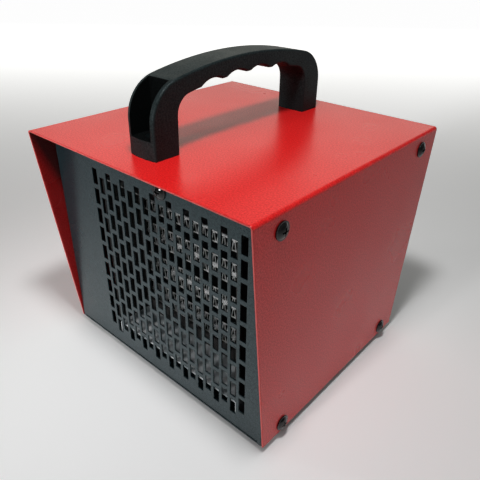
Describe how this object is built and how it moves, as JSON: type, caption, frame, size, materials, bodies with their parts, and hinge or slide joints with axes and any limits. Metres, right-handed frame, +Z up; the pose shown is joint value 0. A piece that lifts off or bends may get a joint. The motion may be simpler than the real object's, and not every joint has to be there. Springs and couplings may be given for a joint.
{
  "type": "forced air heater",
  "caption": "Box-shaped portable forced air heater with a slotted front grille, an axial fan, rotary controls at the rear and a bow carrying handle.",
  "frame": {"origin": "on the floor under the feet, below the middle of the case", "axes": "+X to the right seen from the front, +Y to the rear, +Z up; the grille faces -Y"},
  "size_m": [0.2054, 0.2034, 0.2234],
  "materials": {
    "red_paint": "semi-gloss powder coat",
    "grey_paint": "satin powder coat",
    "black_plastic": "fine moulded grain",
    "black_screw": "black oxide, satin",
    "zinc_screw": "zinc plated",
    "galvanised": "galvanised, mottled",
    "aluminium": "bright rolled",
    "ceramic": "fired, matte",
    "brass": "plain",
    "bronze": "sintered",
    "copper": "enamelled wire",
    "steel": "ground",
    "rubber": "matte",
    "heat_plastic": "glass-filled, matte",
    "white_nylon": "moulded",
    "brown_wire": "insulation",
    "blue_wire": "insulation",
    "red_wire": "insulation",
    "green_wire": "insulation"
  },
  "bodies": {
    "heater": {"cover": "red_paint", "front_panel": "grey_paint", "rear_panel": "grey_paint", "base_tray": "grey_paint", "side_screws": "black_screw", "front_screw": "black_screw", "panel_screws": "zinc_screw", "duct_screws": "zinc_screw", "rubber_feet": "rubber", "foot_screws": "zinc_screw", "foot_nuts": "zinc_screw", "handle": "black_plastic", "handle_screws": "zinc_screw", "handle_washers": "zinc_screw", "handle_nuts": "zinc_screw", "duct_shell": "galvanised", "duct_floor": "galvanised", "wire_grommets": "rubber", "element_left_frame": "heat_plastic", "element_right_frame": "heat_plastic", "heater_tubes": "aluminium", "heater_fins": "aluminium", "fin_plates": "aluminium", "ceramic_stones": "ceramic", "electrodes": "brass", "bus_strips": "brass", "fan_frame": "black_plastic", "fan_bearings": "bronze", "fan_stator": "steel", "stator_coils": "copper", "fan_bolts": "black_screw", "fan_nuts": "zinc_screw", "selector_switch": "heat_plastic", "thermostat_body": "steel", "control_nuts": "zinc_screw", "gland_body": "black_plastic", "gland_cap": "black_plastic", "gland_locknut": "black_plastic", "terminal_block": "white_nylon", "terminal_screws": "brass", "earth_stud": "brass", "earth_nut": "brass", "earth_tag": "brass", "thermal_cutout": "heat_plastic", "wire_connectors": "white_nylon", "live_wire": "brown_wire", "selector_wire": "brown_wire", "thermostat_wire": "brown_wire", "element_live_wire": "brown_wire", "element_neutral_wire": "blue_wire", "fan_live_wire": "red_wire", "fan_neutral_wire": "blue_wire", "earth_wire": "green_wire"},
    "fan_rotor": {"fan_rotor": "black_plastic", "rotor_ring": "steel", "fan_shaft": "steel"},
    "selector_knob": {"selector_knob": "black_plastic", "selector_shaft": "steel"},
    "thermostat_knob": {"thermostat_knob": "black_plastic", "thermostat_shaft": "steel"}
  },
  "joints": [
    {"name": "fan_spin", "type": "hinge", "parent": "heater", "child": "fan_rotor", "pos_m": [0.0146, 0.0667, 0.0855], "axis": [0, 1, 0], "continuous": true},
    {"name": "selector_turn", "type": "hinge", "parent": "heater", "child": "selector_knob", "pos_m": [-0.073, 0.0847, 0.127], "axis": [0, -1, 0], "range_deg": [0, 135]},
    {"name": "thermostat_turn", "type": "hinge", "parent": "heater", "child": "thermostat_knob", "pos_m": [-0.073, 0.0847, 0.079], "axis": [0, -1, 0], "range_deg": [0, 270]}
  ]
}
